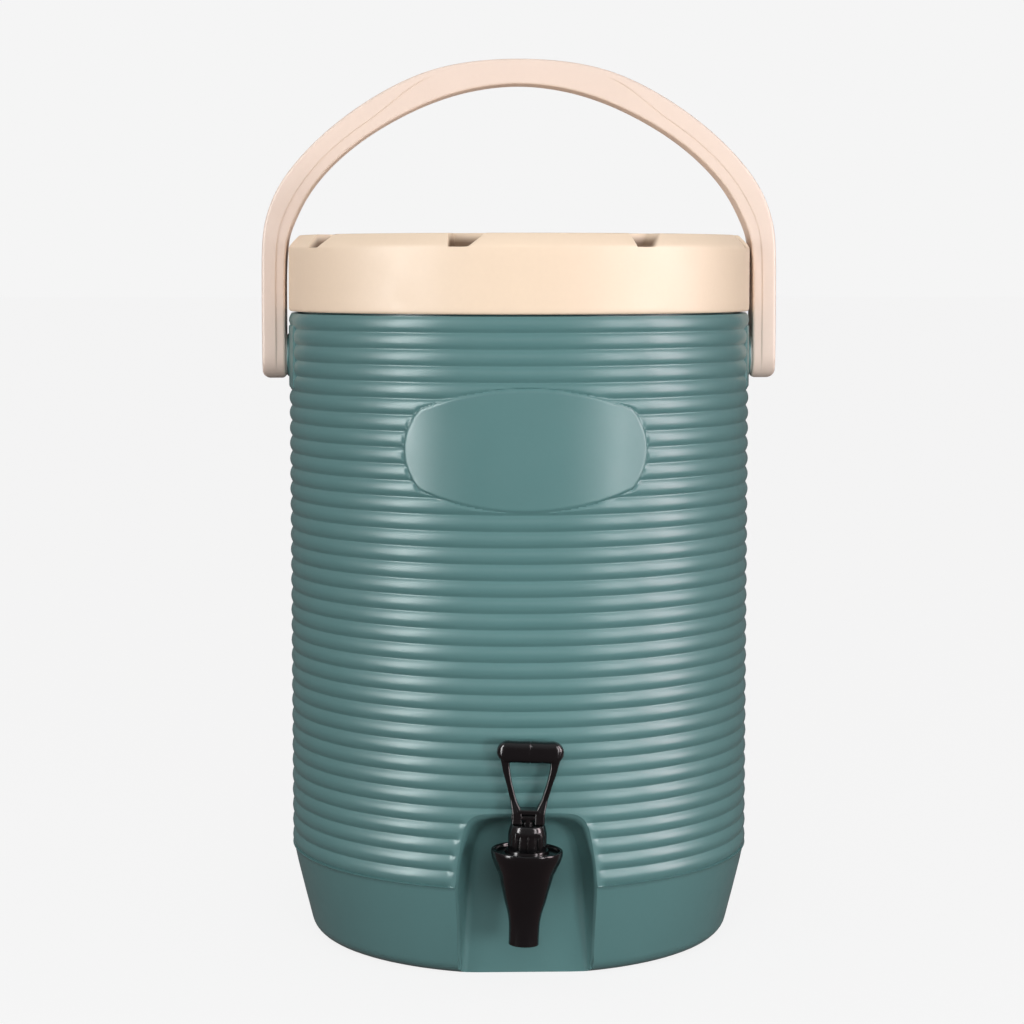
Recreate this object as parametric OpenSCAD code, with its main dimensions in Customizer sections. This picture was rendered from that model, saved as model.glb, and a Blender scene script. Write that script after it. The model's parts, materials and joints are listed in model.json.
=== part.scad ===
// Insulated drinks barrel: ribbed outer shell, foam, steel liner, screw lid with an air vent,
// swinging bail handle and a self-closing lever tap in a recess at the front.
// Origin: centre of the flat base. +Z up, the tap faces -Y, the handle pivots lie along X.

/* [Shell] */
// Radius of the shell at the rib crests
shell_r = 155; // [154.5:0.1:155.2]
// Height of the seam between the shell and the lid
seam_z = 421; // [420:0.5:422]
// Number of moulded ribs
rib_count = 35; // [34:1:35]
// Height of one rib
rib_pitch = 10.29; // [10.2:0.01:10.3]
// Depth of the grooves between the ribs
groove_depth = 2.4; // [1.5:0.1:2.6]
// Wall of the moulded shell
shell_wall = 2.8; // [2.4:0.1:3]

/* [Tank] */
// Inner radius of the steel liner
liner_r = 120; // [118:0.5:120]
// Sheet thickness of the steel liner
liner_wall = 0.8; // [0.6:0.1:1]
// Height of the liner's floor
liner_floor = 36; // [34:0.5:40]
// Outer radius of the threaded neck, without its thread
neck_r = 146; // [145.5:0.1:146.2]
// Height of the neck above the seam
neck_h = 31; // [30.5:0.5:32]

/* [Lid] */
// Height of the lid above the seam
lid_h = 51; // [51:0.5:54]
// Size of the bevel round the lid's top edge
lid_bevel = 8; // [7:0.5:8]
// Wall of the lid
lid_wall = 3; // [2.6:0.1:3]
// Number of finger notches round the lid
notch_count = 8; // [4:1:8]
// Rise of the lid for one turn of its thread
thread_pitch = 8; // [7.5:0.5:8]

/* [Handle] */
// Height of the handle's pivots
pivot_z = 392; // [390:0.5:393]
// Width of the handle's strap, front to back
strap_w = 31; // [28:0.5:32]
// Radius of the pivot screws' shoulders
pivot_r = 5.95; // [5:0.05:6.5]

/* [Tap] */
// Distance of the tap's axis in front of the barrel's axis
tap_reach = 163; // [162:0.5:165]
// Sideways offset of the tap
tap_x = -0.8; // [-1:0.1:1]
// Lean of the tap about its shank
tap_tilt = 2; // [0:0.5:3]
// Height of the tap's shank
shank_z = 70; // [68:0.5:72]
// Radius of the tap's threaded shank
shank_r = 8; // [7.5:0.1:8.2]
// Radius of the spout's outlet
outlet_r = 7.5; // [6.5:0.1:7.8]

/* [Hidden] */
$fn = 96;

// Colours
shell_colour = [0.37, 0.56, 0.55];
cream = [0.94, 0.86, 0.76];
handle_cream = [0.92, 0.84, 0.79];
steel = [0.75, 0.76, 0.77];
foam_colour = [0.95, 0.9, 0.7];
black = [0.05, 0.05, 0.05];
silicone = [0.88, 0.88, 0.86];
brass = [0.8, 0.65, 0.3];

// Clearances
eps = 0.01;           // overlap that joins the parts of one piece
skin_gap = 0.2;       // between pieces that lie against each other
lid_gap = 1.2;        // seam between the shell and the lid
running = 0.06;       // radial, between a pin and the hole that it turns or slides in

// Shell
shell_top = seam_z - lid_gap / 2;
groove_r = shell_r - groove_depth;
bore_r = groove_r - shell_wall;                 // inside of the shell
shoulder_r = neck_r - 7;                        // opening in the shell's shoulder
liner_corner = 6;                               // round at the foot of the liner's wall
rib_foot_z = shell_top - rib_count * rib_pitch;
rib_flank = 1.3;                                // height of a rib's steep edge
rib_edge = 0.55;                                // drop from the crest to that edge
taper_low = [shell_r - 11.5, 15];               // lower end of the plain band's taper
taper_high = [shell_r - 1, rib_foot_z - 1];
taper_slope = (taper_high[0] - taper_low[0]) / (taper_high[1] - taper_low[1]);
base_round = 12;
taper_angle = atan(taper_slope);
round_top_z = base_round * (1 - sin(taper_angle));
base_r = taper_low[0] - (taper_low[1] - round_top_z) * taper_slope - base_round * cos(taper_angle);
base_wall = 4;
smooth_r = shell_r + 0.2;                       // label panel and handle pads
hollow_r = [60, 104];                           // ring-shaped hollow under the base
hollow_depth = 2;
plug_r = 10;
plug_inset = 0.6;

// Label panel, as seen from the front
label_z = seam_z - 83.75;
label_h = 75.5;
label_w = 152.6;
label_arc_r = 177.6;
label_side_r = 36.7;

// Handle pads and bosses
pad_w = 74;
pad_top = seam_z - 9;
pad_bottom = seam_z - 50;
boss_r = 14.5;
boss_in = 138;
boss_out = shell_r + 1.2;
insert_r = 6.5;
screw_thread_r = 4;
shoulder_start = 152;

// Tap recess: half width of its mouth and of its floor, and the heights that go with them
recess_floor_y = -127;
recess_mouth_y = -162;
recess_top = 109;
recess_mouth = [[0, -6], [49, -6], [49, 60], [46.5, 84], [42.5, 96], [38, recess_top - 2],
    [33, recess_top]];
recess_floor = [[0, -6], [41, -6], [37, 41], [34.5, 70], [30.5, 88], [26, 95], [19, 98.5]];

// Lid
lid_bottom = seam_z + lid_gap / 2;
lid_top = seam_z + lid_h;
lid_r = shell_r;
lid_in = lid_r - lid_wall;
dish_r = 120;                                   // shallow dish in the lid's top
dish_depth = 1.5;
lid_roof = lid_top - dish_depth - lid_wall;     // inside of the lid's top
notch_floor = lid_top - 8.6;
notch_steep = [6.5, 8];                         // half width at the floor and top, steep side
notch_slope = [6.5, 15.5];                      // and on the sloping side
notch_in = 136;                                 // radius of a notch's inner end
notch_wall = 2.2;
first_notch = -61;
neck_top = seam_z + neck_h;
lip_top = neck_top + liner_wall;
lip_r = 136;
gasket_h = 4;
plate_z = lip_top + gasket_h + 0.2;             // underside of the lid's inner plate
plate_h = 2.5;
plug_wall_r = 115;
plug_floor = seam_z + 20;
ridge_r = neck_r + 3.5;                         // crest of the neck's thread
lug_r = neck_r + 1;                             // inner radius of the lid's thread lugs
lug_count = 6;
lug_angle = 12;
neck_stretches = 18;
neck_angle = 24;
thread_start = seam_z + 8;
thread_turns = 1.5;
lug_start = thread_start + thread_pitch / 2;    // the lid's thread, half a pitch above the neck's

// Vent in the lid
vent_y = 55;
vent_r = 5;
vent_bush_r = 9;
vent_travel = 5;

// Handle: right half of its outer and inner edges, from the arm to the top of the arch
arm_in = 157;
arm_out = 172.6;
arm_foot = pivot_z - strap_w / 2;
arch_outer = [[172.6, 5], [172.4, 40], [171, 58], [163.6, 80], [150.5, 98.5], [131.5, 118.2],
    [105.5, 138.1], [72, 156.8], [38, 166.2], [0, 168.5]];
arch_inner = [[157, 5], [156.8, 35], [154.8, 51], [151.4, 59], [142.7, 78.2], [125.6, 98.4],
    [100.8, 118.9], [65, 138], [33, 148.6], [0, 152.5]];
cap_r = 9.5;
cap_pocket = 5;                                 // depth of the pocket for the screw head and cap

// Tap, measured from the crossing of its own axis and its shank's
flange_r = 22.5;
flange_top = 18.5;
cone_profile = [[22, 12.5], [21.3, 10], [19.8, 7.5], [18.2, 5], [17.5, 1], [17, -3], [15.3, -8.5],
    [13.6, -14.5], [12, -20.5], [10.5, -27.5], [10.2, -42]];
spout_end = -42;
seat_z = -8;
chamber_r = 11;
bonnet_r = 12.2;
bonnet_top = 34.6;
spring_roof = 30.6;
stem_r = 3.5;
stem_guide_r = stem_r + running;
collar_top = 12;
lever_pin_z = 38.5;
lever_pin_r = 1.75;
lever_pin_half = 10.4;
cheek_in = 3.8;
heel_z = 35.2;
grip_z = [73, 87];
grip_half = 21;
grip_depth = 11;
strut_depth = 7;
shoulder_y = 30;                                // tap's shoulder, behind its axis
washer_h = 3;
nut_y = tap_reach - 115;

// ---------- shared shapes ----------

// Points on a smooth curve through the given points
function curve_point(p, i, t) =
    let (a = p[max(i - 1, 0)], b = p[i], c = p[i + 1], d = p[min(i + 2, len(p) - 1)])
    0.5 * (2 * b + (c - a) * t + (2 * a - 5 * b + 4 * c - d) * t * t
        + (3 * b - a - 3 * c + d) * t * t * t);
function curve(p, steps) = concat(
    [for (i = [0:len(p) - 2], k = [0:steps - 1]) curve_point(p, i, k / steps)], [p[len(p) - 1]]);
function flip_x(points) = [for (i = [len(points) - 1:-1:0]) [-points[i][0], points[i][1]]];
// A half outline and its mirror image, as one closed outline
function whole(half) = concat(half, flip_x(half));

module on_both_sides() {
    for (turn = [0, 180]) rotate([0, 0, turn]) children();
}

module rod_x(r, from, to) {
    translate([from, 0, 0]) rotate([0, 90, 0]) cylinder(r = r, h = to - from);
}

module rod_y(r, from, to) {
    translate([0, from, 0]) rotate([-90, 0, 0]) cylinder(r = r, h = to - from);
}

module tube_z(r_out, r_in, from, to) {
    rotate_extrude() translate([r_in, from]) square([r_out - r_in, to - from]);
}

// Short level stretches of thread that climb as a right-hand screw round Z
module thread_stretches(count, turns, angle, r_root, r_crest, root_w, crest_w, z0) {
    for (i = [0:count - 1]) {
        a = i * turns * 360 / count;
        z = z0 + thread_pitch * a / 360;
        rotate([0, 0, a - angle / 2]) rotate_extrude(angle = angle)
            polygon([[r_root, z - root_w / 2], [r_crest, z - crest_w / 2],
                [r_crest, z + crest_w / 2], [r_root, z + root_w / 2]]);
    }
}

module on_tap_axis() {
    translate([tap_x, -tap_reach, shank_z]) rotate([0, tap_tilt, 0]) children();
}

// The tap's recess, wider at its mouth than at its floor, grown by a wall
module recess(grow) {
    hull() {
        translate([0, recess_floor_y + grow, 0]) recess_plate(recess_floor, grow);
        translate([0, recess_mouth_y, 0]) recess_plate(recess_mouth, grow);
    }
}

module recess_plate(half, grow) {
    rotate([90, 0, 0]) linear_extrude(0.1)
        polygon(whole([for (p = half) p + [sign(p[0]) * grow, p[1] > 0 ? grow : 0]]));
}

// ---------- barrel ----------

module shell_outline() {
    ribs = [for (i = [rib_count - 1:-1:0]) let (z = rib_foot_z + (rib_count - 1 - i) * rib_pitch)
        each [[groove_r, z], [shell_r - rib_edge, z + rib_flank], [shell_r, z + rib_pitch / 2],
            [shell_r - rib_edge, z + rib_pitch - rib_flank]]];
    corner = [for (a = [-90:15:-20]) [base_r + base_round * cos(a), base_round * (1 + sin(a))]];
    polygon(concat([[0, 0]], corner, [taper_low, taper_high], ribs,
        [[groove_r, shell_top], [0, shell_top]]));
}

module shell_cavity() {
    polygon([[0, base_wall], [base_r, base_wall], [taper_low[0] - 4, 14], [bore_r, rib_foot_z],
        [bore_r, shell_top - shell_wall], [shoulder_r, shell_top - shell_wall],
        [shoulder_r, shell_top + 1], [0, shell_top + 1]]);
}

module label_outline() {
    intersection() {
        translate([0, label_h / 2 - label_arc_r]) circle(label_arc_r, $fn = 200);
        translate([0, label_arc_r - label_h / 2]) circle(label_arc_r, $fn = 200);
        union() {
            side = label_w / 2 - label_side_r;
            square([2 * side, label_h + 4], center = true);
            for (s = [-1, 1]) translate([s * side, 0]) circle(label_side_r);
        }
    }
}

// Smooth areas that stand level with the rib crests
module smooth_areas() {
    intersection() {
        tube_z(smooth_r, bore_r + 1, pad_bottom - 110, pad_top + 10);
        union() {
            translate([0, -100, label_z]) rotate([90, 0, 0]) linear_extrude(60) label_outline();
            on_both_sides() translate([100, -pad_w / 2, pad_bottom]) cube([60, pad_w, pad_top - pad_bottom]);
        }
    }
}

module outer_shell() {
    color(shell_colour) difference() {
        union() {
            difference() {
                rotate_extrude($fn = 180) shell_outline();
                difference() {
                    rotate_extrude($fn = 180) shell_cavity();
                    recess(shell_wall);
                }
            }
            smooth_areas();
            on_both_sides() translate([0, 0, pivot_z]) rod_x(boss_r, boss_in, boss_out);
        }
        recess(0);
        tube_z(hollow_r[1], hollow_r[0], -1, hollow_depth);
        translate([0, 0, -1]) cylinder(r = plug_r, h = base_wall + 2);
        translate([tap_x, 0, shank_z]) rod_y(shank_r + 0.3, -140, -110);
        on_both_sides() translate([0, 0, pivot_z]) {
            rod_x(insert_r, boss_in - 1, shoulder_start);
            rod_x(pivot_r + running, shoulder_start - eps, boss_out + 1);
        }
    }
}

module foam_insulation() {
    inner = liner_r + liner_wall + skin_gap;
    floor_z = liner_floor - liner_wall - skin_gap;
    outer = bore_r - skin_gap;
    throat = shoulder_r - skin_gap;
    neck_in = neck_r - lid_wall - skin_gap;
    shoulder = shell_top - shell_wall - skin_gap;
    top = neck_top - lid_wall - skin_gap;
    bottom = base_wall + skin_gap;
    color(foam_colour) difference() {
        rotate_extrude() polygon([[0, bottom], [base_r - 1, bottom], [taper_low[0] - 5, 15],
            [outer, rib_foot_z + 1], [outer, shoulder], [throat, shoulder],
            [throat, shell_top + skin_gap], [neck_in, shell_top + skin_gap], [neck_in, top],
            [inner, top], [inner, floor_z], [0, floor_z]]);
        recess(shell_wall + skin_gap);
        cylinder(r = plug_r + 1, h = 12);
        translate([tap_x, 0, shank_z]) rod_y(shank_r + 4.2, -140, -110);
        on_both_sides() translate([0, 0, pivot_z]) rod_x(boss_r + skin_gap, boss_in - 2, shell_r);
    }
}

module steel_liner() {
    r_out = liner_r + liner_wall;
    centre = [liner_r - liner_corner, liner_floor + liner_corner];
    inner_arc = [for (a = [-90:15:0]) centre + liner_corner * [cos(a), sin(a)]];
    outer_arc = [for (a = [0:-15:-90]) centre + (liner_corner + liner_wall) * [cos(a), sin(a)]];
    color(steel) difference() {
        rotate_extrude() polygon(concat([[0, liner_floor]], inner_arc,
            [[liner_r, lip_top], [lip_r, lip_top], [lip_r, neck_top], [r_out, neck_top]],
            outer_arc, [[0, liner_floor - liner_wall]]));
        translate([tap_x, 0, shank_z]) rod_y(shank_r + 0.3, -130, -100);
    }
}

module neck_ring() {
    bottom = shell_top;
    inner = liner_r + liner_wall;
    color(shell_colour) union() {
        rotate_extrude($fn = 180) polygon([[neck_r - lid_wall, bottom], [neck_r, bottom],
            [neck_r, neck_top], [inner, neck_top], [inner, neck_top - lid_wall],
            [neck_r - lid_wall, neck_top - lid_wall]]);
        thread_stretches(neck_stretches, thread_turns, neck_angle, neck_r - 1, ridge_r, 3.4, 2,
            thread_start);
    }
}

module base_plug() {
    color(shell_colour) {
        translate([0, 0, plug_inset]) cylinder(r = plug_r - 0.1, h = base_wall - plug_inset + 2 * eps);
        translate([0, 0, base_wall + eps]) cylinder(r1 = plug_r + 0.6, r2 = plug_r - 2, h = 4);
    }
}

module wall_sleeve() {
    color(silicone) translate([tap_x, 0, shank_z]) difference() {
        rod_y(shank_r + 4, recess_floor_y + shell_wall, -liner_r - liner_wall - 0.1);
        rod_y(shank_r + 0.3, -140, -110);
    }
}

module pivot_inserts() {
    color(brass) on_both_sides() translate([0, 0, pivot_z]) difference() {
        rod_x(insert_r, boss_in, shoulder_start);
        rod_x(screw_thread_r, boss_in - 1, shoulder_start + 1);
    }
}

module pivot_screws() {
    head = arm_out - cap_pocket + 0.1;
    color(steel) on_both_sides() translate([0, 0, pivot_z]) difference() {
        union() {
            rod_x(screw_thread_r, boss_in, shoulder_start + eps);
            rod_x(pivot_r, shoulder_start, head + eps);
            rod_x(cap_r - 1, head, head + 2.6);
        }
        translate([head + 1, -7, -0.8]) cube([3, 14, 1.6]);
    }
}

module pivot_washers() {
    color(silicone) on_both_sides() translate([0, 0, pivot_z]) difference() {
        rod_x(boss_r - 1, boss_out, arm_in - 0.1);
        rod_x(pivot_r + running, boss_out - 1, arm_in);
    }
}

module tap_outer_washer() {
    color(silicone) translate([tap_x, 0, shank_z]) difference() {
        rod_y(shank_r + 5, recess_floor_y - washer_h, recess_floor_y);
        rod_y(shank_r, -140, -110);
    }
}

// Flat towards the nut, curved towards the liner
module tap_inner_washer() {
    color(silicone) intersection() {
        translate([tap_x, 0, shank_z]) difference() {
            rod_y(shank_r + 6, -liner_r - 2, -tap_reach + nut_y);
            rod_y(shank_r, -liner_r - 3, -100);
        }
        cylinder(r = liner_r, h = 2 * shank_z);
    }
}

module tap_lock_nut() {
    color(black) translate([tap_x, 0, shank_z]) difference() {
        translate([0, -tap_reach + nut_y, 0]) rotate([-90, 0, 0]) cylinder(r = 15, h = 9, $fn = 6);
        rod_y(shank_r, -liner_r, -100);
    }
}

// ---------- handle ----------

module arch_outline() {
    foot = arm_foot - seam_z;
    outer = concat([[arm_out - 5, foot], [arm_out, foot + 5]], curve(arch_outer, 4));
    inner = concat([[arm_in + 3, foot], [arm_in, foot + 3]], curve(arch_inner, 4));
    outer_whole = concat(outer, [for (i = [len(outer) - 2:-1:0]) [-outer[i][0], outer[i][1]]]);
    inner_back = [for (i = [0:len(inner) - 1]) [-inner[i][0], inner[i][1]]];
    inner_front = [for (i = [len(inner) - 2:-1:0]) inner[i]];
    polygon(concat(outer_whole, inner_back, inner_front));
}

module carry_handle() {
    color(handle_cream) difference() {
        intersection() {
            translate([0, 0, seam_z]) rotate([90, 0, 0])
                linear_extrude(strap_w, center = true) arch_outline();
            union() {
                translate([0, 0, pivot_z]) rod_x(strap_w / 2, -200, 200);
                translate([-200, -strap_w / 2, pivot_z]) cube([400, strap_w, 220]);
            }
        }
        on_both_sides() translate([0, 0, pivot_z]) {
            rod_x(pivot_r + running, arm_in - 1, arm_out);
            rod_x(cap_r, arm_out - cap_pocket, arm_out + 1);
        }
    }
}

module pivot_caps() {
    color(handle_cream) on_both_sides() translate([0, 0, pivot_z])
        rod_x(cap_r, arm_out - 1.8, arm_out + 0.2);
}

// ---------- lid ----------

// Finger notches with one steep and one sloping side, grown by a wall
module notches(grow) {
    depth = lid_top - notch_floor;
    lean = (notch_slope[1] - notch_slope[0]) / depth;
    rise = depth + 2;                           // past the lid's top
    for (i = [0:notch_count - 1]) rotate([0, 0, first_notch + i * 360 / notch_count])
        translate([notch_in - grow, 0, notch_floor - grow]) rotate([90, 0, 90])
            linear_extrude(lid_r - notch_in + 5 + grow)
                polygon([[-notch_steep[0] - grow, 0], [notch_slope[0] + grow, 0],
                    [notch_slope[0] + lean * rise + grow, rise + grow],
                    [-notch_steep[1] - grow, rise + grow]]);
}

module lid_gasket() {
    color(silicone) tube_z(lip_r + 1, liner_r + 3, lip_top + 0.1, lip_top + 0.1 + gasket_h);
}

module lid_cover() {
    color(cream) difference() {
        rotate_extrude($fn = 180) polygon([[0, lid_bottom], [lid_r - 1, lid_bottom],
            [lid_r, lid_bottom + 1], [lid_r, lid_top - lid_bevel], [lid_r - lid_bevel + 0.5, lid_top],
            [dish_r + 2, lid_top], [dish_r, lid_top - dish_depth], [0, lid_top - dish_depth]]);
        difference() {
            rotate_extrude($fn = 180) polygon([[0, lid_bottom - 1], [lid_in, lid_bottom - 1],
                [lid_in, lid_top - lid_bevel - 2], [lid_in - 6, lid_roof], [0, lid_roof]]);
            notches(notch_wall);
            thread_stretches(lug_count, 1, lug_angle, lid_in + 1, lug_r, 2.8, 1.6, lug_start);
        }
        notches(0);
        translate([0, vent_y, lid_roof - 1]) cylinder(r = vent_bush_r + running, h = 10);
    }
}

module lid_liner() {
    wall = 2.2;
    color(cream) difference() {
        rotate_extrude() polygon([[0, plug_floor], [plug_wall_r, plug_floor], [plug_wall_r, plate_z],
            [lid_in - 0.1, plate_z], [lid_in - 0.1, plate_z + plate_h],
            [plug_wall_r - wall, plate_z + plate_h], [plug_wall_r - wall, plug_floor + wall],
            [0, plug_floor + wall]]);
        translate([0, vent_y, plug_floor - 1]) cylinder(r = vent_bush_r + running, h = 10);
    }
}

module lid_foam() {
    low = plug_floor + 2.2 + skin_gap;
    mid = plate_z + plate_h + skin_gap;
    color(foam_colour) difference() {
        rotate_extrude() polygon([[0, low], [plug_wall_r - 2.4, low], [plug_wall_r - 2.4, mid],
            [lid_in - skin_gap, mid], [lid_in - skin_gap, lid_top - lid_bevel - 2.4],
            [lid_in - 6.4, lid_roof - skin_gap], [0, lid_roof - skin_gap]]);
        notches(notch_wall + skin_gap);
        translate([0, vent_y, low - 1]) cylinder(r = vent_bush_r + skin_gap, h = 60);
    }
}

module vent_bush() {
    top = lid_top - dish_depth;
    color(cream) translate([0, vent_y, 0]) difference() {
        union() {
            translate([0, 0, plug_floor - 1]) cylinder(r = vent_bush_r, h = top - plug_floor + 1 + eps);
            translate([0, 0, top]) cylinder(r = vent_bush_r + 3, h = 0.8);
        }
        translate([0, 0, plug_floor - 2]) cylinder(r = vent_r, h = 60);
    }
}

module vent_knob() {
    cap_z = lid_top + 0.4;
    stop_z = plug_floor - 1 - vent_travel;      // the snap collar below the bush
    color(cream) translate([0, vent_y, 0]) difference() {
        union() {
            translate([0, 0, stop_z - 2]) cylinder(r1 = vent_r - 1, r2 = vent_r + 1.4, h = 1.6);
            translate([0, 0, stop_z - 1]) cylinder(r = vent_r - 0.1, h = cap_z - stop_z + 1.5);
            translate([0, 0, cap_z]) cylinder(r = vent_bush_r + 1, h = 1.4);
            translate([0, 0, cap_z + 1.4 - eps]) cylinder(r1 = vent_bush_r + 1, r2 = vent_bush_r, h = 0.6);
        }
        // flat that lets the air past
        translate([vent_r - 1.4, -vent_r - 3, 0]) cube([10, 2 * vent_r + 6, cap_z - 1.2]);
    }
}

module vent_seal() {
    low = lid_top - dish_depth + 0.9;
    color(silicone) translate([0, vent_y, 0]) tube_z(vent_bush_r, vent_r - 0.1, low, lid_top + 0.4);
}

// ---------- tap ----------

module tap_body() {
    color(black) on_tap_axis() difference() {
        union() {
            rotate_extrude() polygon(concat([[0, flange_top], [flange_r - 0.6, flange_top],
                [flange_r, flange_top - 0.8], [flange_r, flange_top - 3]], cone_profile, [[0, spout_end]]));
            rod_y(11.5, 0, shoulder_y);
            rod_y(shank_r + 5, shoulder_y - 3, tap_reach + recess_floor_y - washer_h);
            rod_y(shank_r, shoulder_y, tap_reach - 104);
        }
        tube_z(flange_r - 2, chamber_r + 2.5, flange_top - 2.4, flange_top + 1);
        translate([0, 0, seat_z]) cylinder(r = chamber_r, h = 40);
        translate([0, 0, spout_end - 1]) cylinder(r = outlet_r, h = seat_z - spout_end + 2);
        rod_y(5, 0, tap_reach - 100);
    }
}

module tap_bonnet() {
    color(black) on_tap_axis() difference() {
        union() {
            translate([0, 0, flange_top]) cylinder(r = bonnet_r, h = 10 + eps);
            translate([0, 0, flange_top + 10])
                cylinder(r1 = bonnet_r, r2 = bonnet_r - 1.6, h = bonnet_top - flange_top - 10);
            translate([0, 0, flange_top - 6.5]) cylinder(r = chamber_r - 0.05, h = 7);
        }
        translate([0, 0, flange_top - 8]) cylinder(r = 7, h = spring_roof - flange_top + 8);
        translate([0, 0, spring_roof - 1]) cylinder(r = stem_guide_r, h = 10);
        for (a = [0:30:330]) rotate([0, 0, a]) translate([bonnet_r + 0.6, 0, flange_top + 2])
            cylinder(r = 1.2, h = 7, $fn = 24);
    }
}

module tap_stem() {
    color(black) on_tap_axis() difference() {
        union() {
            translate([0, 0, seat_z + 3]) cylinder(r = stem_r, h = lever_pin_z - seat_z - 3);
            translate([0, 0, collar_top - 2]) cylinder(r = 6.6, h = 2);
            translate([0, 0, lever_pin_z]) rod_x(stem_r, -stem_r, stem_r);
        }
        translate([0, 0, lever_pin_z]) rod_x(lever_pin_r, -10, 10);
    }
}

module tap_seat_cup() {
    color(silicone) on_tap_axis() difference() {
        union() {
            translate([0, 0, seat_z + 0.1]) cylinder(r = 9.6, h = 3);
            translate([0, 0, seat_z + 3]) cylinder(r1 = 9.6, r2 = 6, h = 6);
        }
        translate([0, 0, seat_z + 3]) cylinder(r = stem_r, h = 10);
    }
}

module tap_spring() {
    coil_r = 5.3;
    wire = 0.55;
    turns = 6;
    segments = 16;
    low = collar_top + wire + 0.1;
    rise = spring_roof - wire - 0.1 - low;
    rings = turns * segments;
    points = [for (i = [0:rings]) let (a = 360 * i / segments, z = low + rise * i / rings)
        for (k = [0:5]) let (w = 60 * k, r = coil_r + wire * cos(w))
            [r * cos(a), r * sin(a), z + wire * sin(w)]];
    sides = [for (i = [0:rings - 1], k = [0:5]) let (b = 6 * i, n = (k + 1) % 6)
        [b + k, b + 6 + k, b + 6 + n, b + n]];
    ends = [[for (k = [0:5]) k], [for (k = [5:-1:0]) 6 * rings + k]];
    color(steel) on_tap_axis() polyhedron(points, concat(sides, ends));
}

module lever_pin() {
    color(steel) on_tap_axis() translate([0, 0, lever_pin_z])
        rod_x(lever_pin_r, -lever_pin_half, lever_pin_half);
}

module lever_outline() {
    gap_low = [6, 45.3];
    gap_high = [12.8, grip_z[0] - 0.4];
    difference() {
        polygon(whole([[10.4, heel_z], [10.4, 42], [18.2, grip_z[0] + 1]]));
        polygon(whole([gap_low, [8.6, 52], gap_high]));
    }
}

module tap_lever() {
    color(black) on_tap_axis() difference() {
        union() {
            rotate([90, 0, 0]) linear_extrude(strut_depth, center = true) lever_outline();
            translate([-lever_pin_half, -6, heel_z]) cube([2 * lever_pin_half, 12, 9]);
            rotate([90, 0, 0]) linear_extrude(grip_depth, center = true) {
                mid = (grip_z[0] + grip_z[1]) / 2;
                half = (grip_z[1] - grip_z[0]) / 2;
                translate([0, mid]) square([2 * (grip_half - half), 2 * half], center = true);
                for (s = [-1, 1]) translate([s * (grip_half - half), mid]) circle(half);
            }
        }
        translate([-cheek_in, -7, heel_z - 1]) cube([2 * cheek_in, 14, 8.1]);
        translate([0, 0, lever_pin_z]) rod_x(lever_pin_r + running, -20, 20);
    }
}

outer_shell();
foam_insulation();
steel_liner();
neck_ring();
base_plug();
wall_sleeve();
pivot_inserts();
pivot_screws();
pivot_washers();
carry_handle();
pivot_caps();
lid_gasket();
lid_cover();
lid_liner();
lid_foam();
vent_bush();
vent_knob();
vent_seal();
tap_body();
tap_bonnet();
tap_outer_washer();
tap_inner_washer();
tap_lock_nut();
tap_stem();
tap_seat_cup();
tap_spring();
lever_pin();
tap_lever();
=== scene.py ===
import json
import math

import bmesh
import bpy
import numpy as np
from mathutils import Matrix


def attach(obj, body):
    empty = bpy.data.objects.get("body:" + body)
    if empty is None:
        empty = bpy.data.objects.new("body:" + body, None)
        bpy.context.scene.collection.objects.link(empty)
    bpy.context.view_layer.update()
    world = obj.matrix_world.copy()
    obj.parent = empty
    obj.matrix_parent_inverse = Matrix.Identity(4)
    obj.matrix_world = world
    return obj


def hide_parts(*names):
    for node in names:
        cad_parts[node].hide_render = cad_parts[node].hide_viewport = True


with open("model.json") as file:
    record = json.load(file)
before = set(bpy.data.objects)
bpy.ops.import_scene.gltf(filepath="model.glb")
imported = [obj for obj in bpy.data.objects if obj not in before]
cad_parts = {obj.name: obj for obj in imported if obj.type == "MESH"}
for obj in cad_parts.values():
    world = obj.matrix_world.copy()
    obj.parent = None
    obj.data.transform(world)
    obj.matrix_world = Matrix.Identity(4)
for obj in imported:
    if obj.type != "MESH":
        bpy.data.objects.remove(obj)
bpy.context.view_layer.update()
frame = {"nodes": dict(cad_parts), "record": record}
nodes = frame["nodes"]
MM = 0.001

# Shapes are in millimetres in the CAD frame until make() turns them into metres.
CREST_R = 155.0                             # over the ribs' crests, and the lid
PITCH, RIBS = 10.29, 35
SHELL_TOP = 420.4
RIB_FOOT = SHELL_TOP - RIBS * PITCH         # where the ribs end and the plain foot band starts
PIVOT_Z, PIVOT_BORE_R = 392.0, 6.01
SEAM = 421.0                                # between the shell and the lid
TAP = np.array([-0.8, -163.0, 70.0])        # origin of the tap's own axes
TILT = math.radians(2)                      # the tap's lean
CRISP = 40                                  # faces that meet at more degrees than this keep a sharp edge


# ---------- number helpers ----------

def smooth(a, b, x):
    t = np.clip((x - a) / (b - a), 0, 1)
    return t * t * (3 - 2 * t)


def soft_max(a, b, k):
    h = np.clip(0.5 + 0.5 * (a - b) / k, 0, 1)
    return b * (1 - h) + a * h + k * h * (1 - h)


def spline(points, steps):
    """Catmull-Rom curve through the points."""
    p = np.asarray(points, float)
    out = []
    for i in range(len(p) - 1):
        a, b, c, d = p[max(i - 1, 0)], p[i], p[i + 1], p[min(i + 2, len(p) - 1)]
        for k in range(steps):
            t = k / steps
            out.append(0.5 * (2 * b + (c - a) * t + (2 * a - 5 * b + 4 * c - d) * t * t
                              + (3 * b - a - 3 * c + d) * t ** 3))
    out.append(p[-1])
    return np.array(out)


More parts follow.
